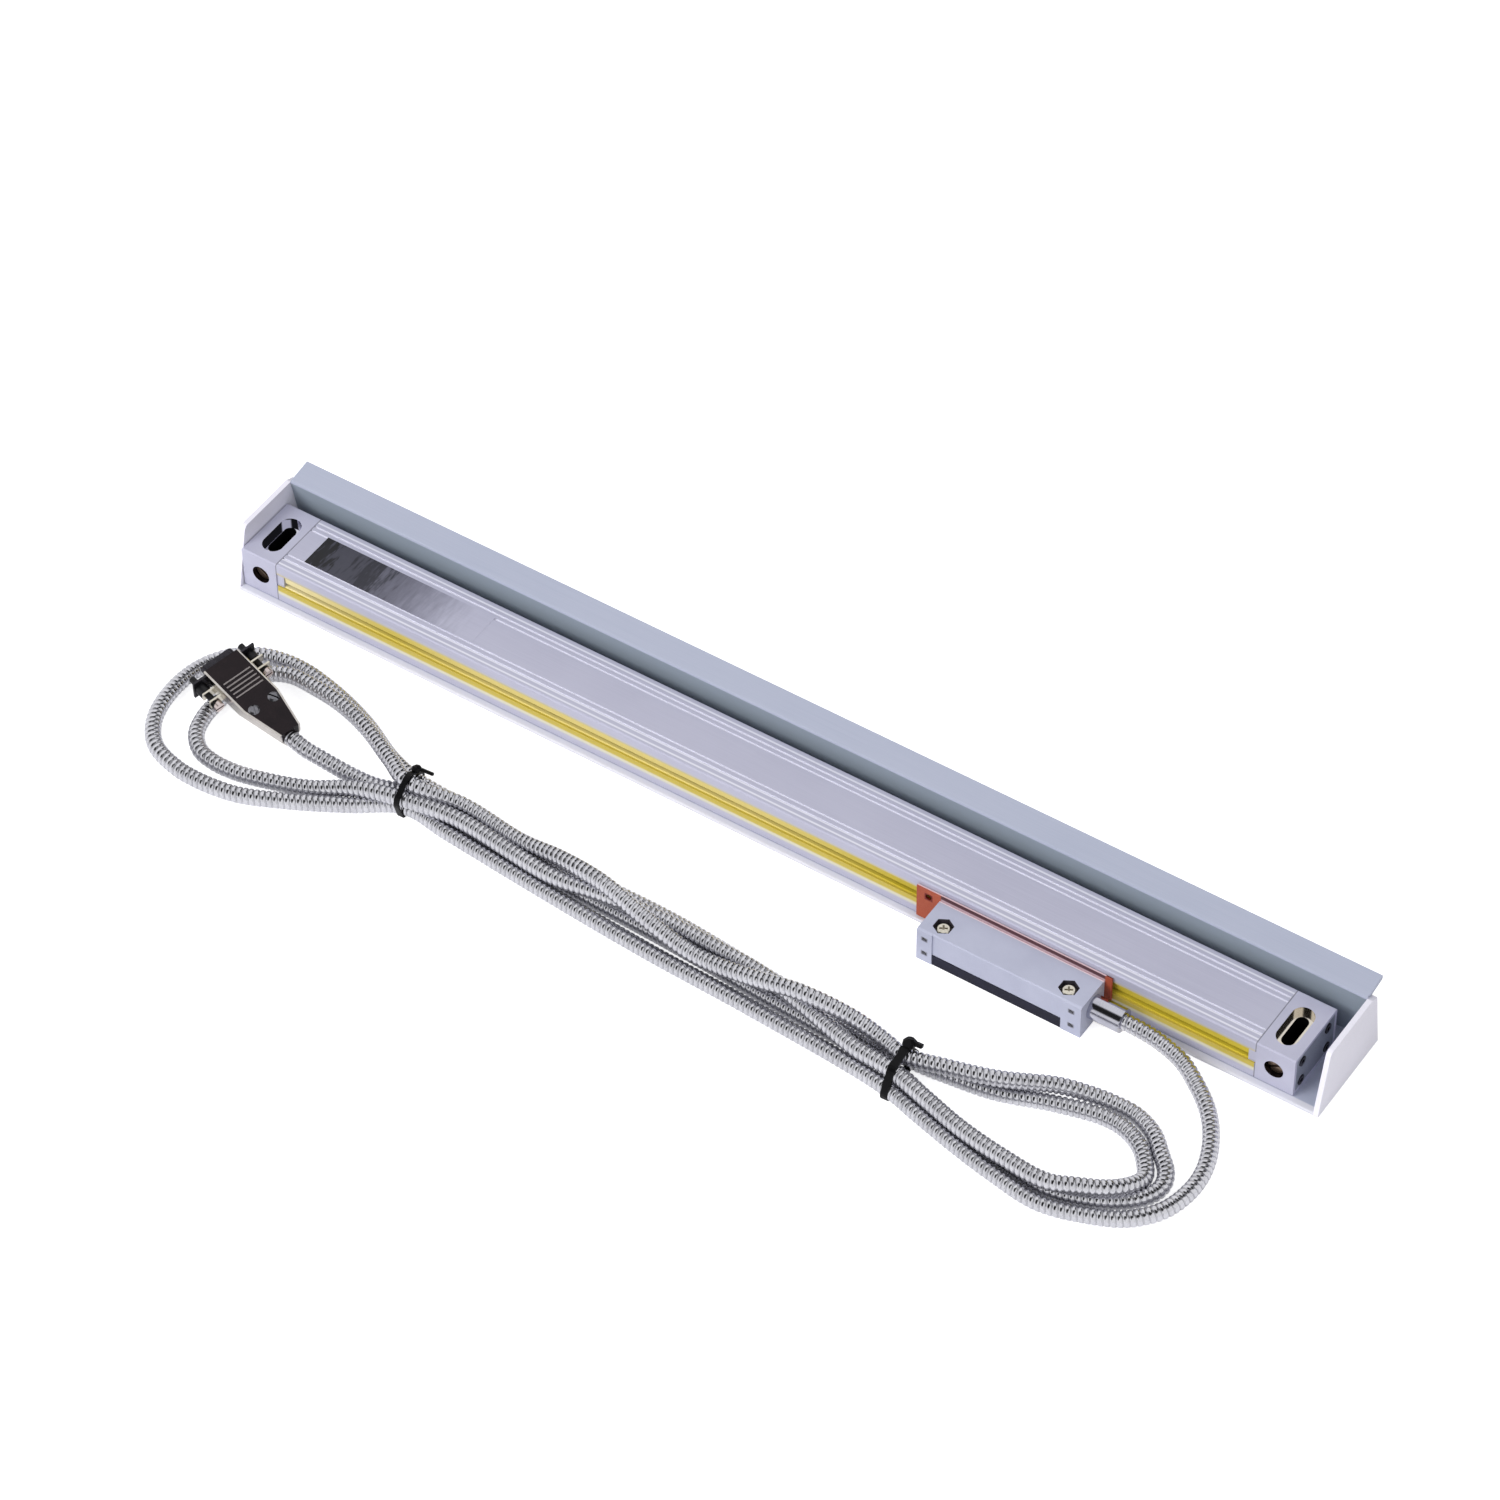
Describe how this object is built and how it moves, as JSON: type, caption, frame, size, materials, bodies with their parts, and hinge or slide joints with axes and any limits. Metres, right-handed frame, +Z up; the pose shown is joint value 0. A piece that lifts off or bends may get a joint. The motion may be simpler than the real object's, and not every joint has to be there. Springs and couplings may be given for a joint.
{
  "type": "linear glass scale",
  "caption": "Sealed linear glass scale with a sliding reading head, an armoured lead tied in a hank with a nine-way connector, and a loose guard profile with end caps.",
  "frame": {"origin": "middle of the whole object's base, under the guard profile and the reading head, with the lead left out", "axes": "+X along the travel towards the end where the lead leaves the head, +Y back towards the guard's wall, +Z up"},
  "size_m": [0.5154, 0.1504, 0.0341],
  "materials": {
    "anodised_extrusion": "satin",
    "machined_block": "satin",
    "gasket_rubber": "matte",
    "end_plate_grey": "satin",
    "black_screw": "satin",
    "plug_brass": "satin",
    "scale_glass": "gloss",
    "bedding_elastomer": "matte",
    "lip_yellow": "satin",
    "guard_aluminium": "satin",
    "cap_white": "satin",
    "head_aluminium": "satin",
    "lid_black": "satin",
    "steel_screw": "satin",
    "plated_screw": "gloss",
    "board_green": "satin",
    "bracket_orange": "satin",
    "blade_steel": "satin",
    "carriage_aluminium": "satin",
    "led_resin": "gloss",
    "optic_glass": "gloss",
    "roller_steel": "gloss",
    "ferrule_chrome": "gloss",
    "armour_steel": "satin",
    "tie_nylon": "satin",
    "hood_metal": "gloss",
    "hood_lid_gloss": "gloss",
    "shell_plated": "satin",
    "insulator_black": "matte",
    "pin_gold": "gloss"
  },
  "bodies": {
    "root": {"housing_extrusion": "anodised_extrusion", "left_end_block": "machined_block", "right_end_block": "machined_block", "end_gaskets": "gasket_rubber", "left_end_plate": "end_plate_grey", "right_end_plate": "end_plate_grey", "end_plate_screws": "black_screw", "port_plugs": "plug_brass", "glass_scale": "scale_glass", "glass_bedding": "bedding_elastomer", "upper_seal_lip": "lip_yellow", "lower_seal_lip": "lip_yellow", "guard_profile": "guard_aluminium", "left_guard_cap": "cap_white", "right_guard_cap": "cap_white"},
    "reading_head": {"head_block": "head_aluminium", "head_lid": "lid_black", "lid_screws": "steel_screw", "head_mounting_screws": "plated_screw", "lug_screws": "steel_screw", "head_circuit_board": "board_green", "alignment_bracket": "bracket_orange", "bracket_screws": "steel_screw", "transfer_blade": "blade_steel", "blade_screws": "steel_screw", "carriage_frame": "carriage_aluminium", "coupling_wire": "blade_steel", "led_emitter": "led_resin", "collimator_lens": "optic_glass", "index_grating": "optic_glass", "sensor_board": "board_green", "roller_axles": "blade_steel", "cable_ferrule": "ferrule_chrome", "lead_tube": "armour_steel", "cable_hank": "armour_steel", "pigtail_tube": "armour_steel", "left_cable_tie": "tie_nylon", "right_cable_tie": "tie_nylon", "hood_ferrule": "plated_screw", "hood_lower": "hood_metal", "hood_upper": "hood_lid_gloss", "hood_screws": "steel_screw", "connector_shell": "shell_plated", "connector_insulator": "insulator_black", "connector_pins": "pin_gold", "screw_clips": "plated_screw"},
    "face_roller_left": {"face_roller_left": "roller_steel"},
    "face_roller_middle": {"face_roller_middle": "roller_steel"},
    "face_roller_right": {"face_roller_right": "roller_steel"},
    "edge_roller_left": {"edge_roller_left": "roller_steel"},
    "edge_roller_right": {"edge_roller_right": "roller_steel"},
    "near_jackscrew": {"near_jackscrew": "black_screw"},
    "far_jackscrew": {"far_jackscrew": "black_screw"}
  },
  "joints": [
    {"name": "head_slide", "type": "slide", "parent": "root", "child": "reading_head", "axis": [1, 0, 0], "range_m": [-0.3135, 0.0565]},
    {"name": "face_roller_left_spin", "type": "hinge", "parent": "reading_head", "child": "face_roller_left", "pos_m": [0.0995, 0.0047, 0.01708], "axis": [0, 1, 0], "continuous": true},
    {"name": "face_roller_middle_spin", "type": "hinge", "parent": "reading_head", "child": "face_roller_middle", "pos_m": [0.1155, 0.0047, 0.01708], "axis": [0, 1, 0], "continuous": true},
    {"name": "face_roller_right_spin", "type": "hinge", "parent": "reading_head", "child": "face_roller_right", "pos_m": [0.1475, 0.0047, 0.01708], "axis": [0, 1, 0], "continuous": true},
    {"name": "edge_roller_left_spin", "type": "hinge", "parent": "reading_head", "child": "edge_roller_left", "pos_m": [0.1075, -0.00103, 0.0137], "axis": [0, 0, 1], "continuous": true},
    {"name": "edge_roller_right_spin", "type": "hinge", "parent": "reading_head", "child": "edge_roller_right", "pos_m": [0.1395, -0.00103, 0.0137], "axis": [0, 0, 1], "continuous": true},
    {"name": "near_jackscrew_turn", "type": "hinge", "parent": "reading_head", "child": "near_jackscrew", "pos_m": [-0.2267, -0.07988, 0.013], "axis": [0.9583, -0.2586, -0.1219], "continuous": true},
    {"name": "far_jackscrew_turn", "type": "hinge", "parent": "reading_head", "child": "far_jackscrew", "pos_m": [-0.21993, -0.05592, 0.01534], "axis": [0.9583, -0.2586, -0.1219], "continuous": true}
  ],
  "couplings": [
    {"joint": "face_roller_left_spin", "follows": "head_slide", "rad_per_m": 454.55},
    {"joint": "face_roller_middle_spin", "follows": "head_slide", "rad_per_m": 454.55},
    {"joint": "face_roller_right_spin", "follows": "head_slide", "rad_per_m": 454.55},
    {"joint": "edge_roller_left_spin", "follows": "head_slide", "rad_per_m": 454.55},
    {"joint": "edge_roller_right_spin", "follows": "head_slide", "rad_per_m": 454.55}
  ]
}
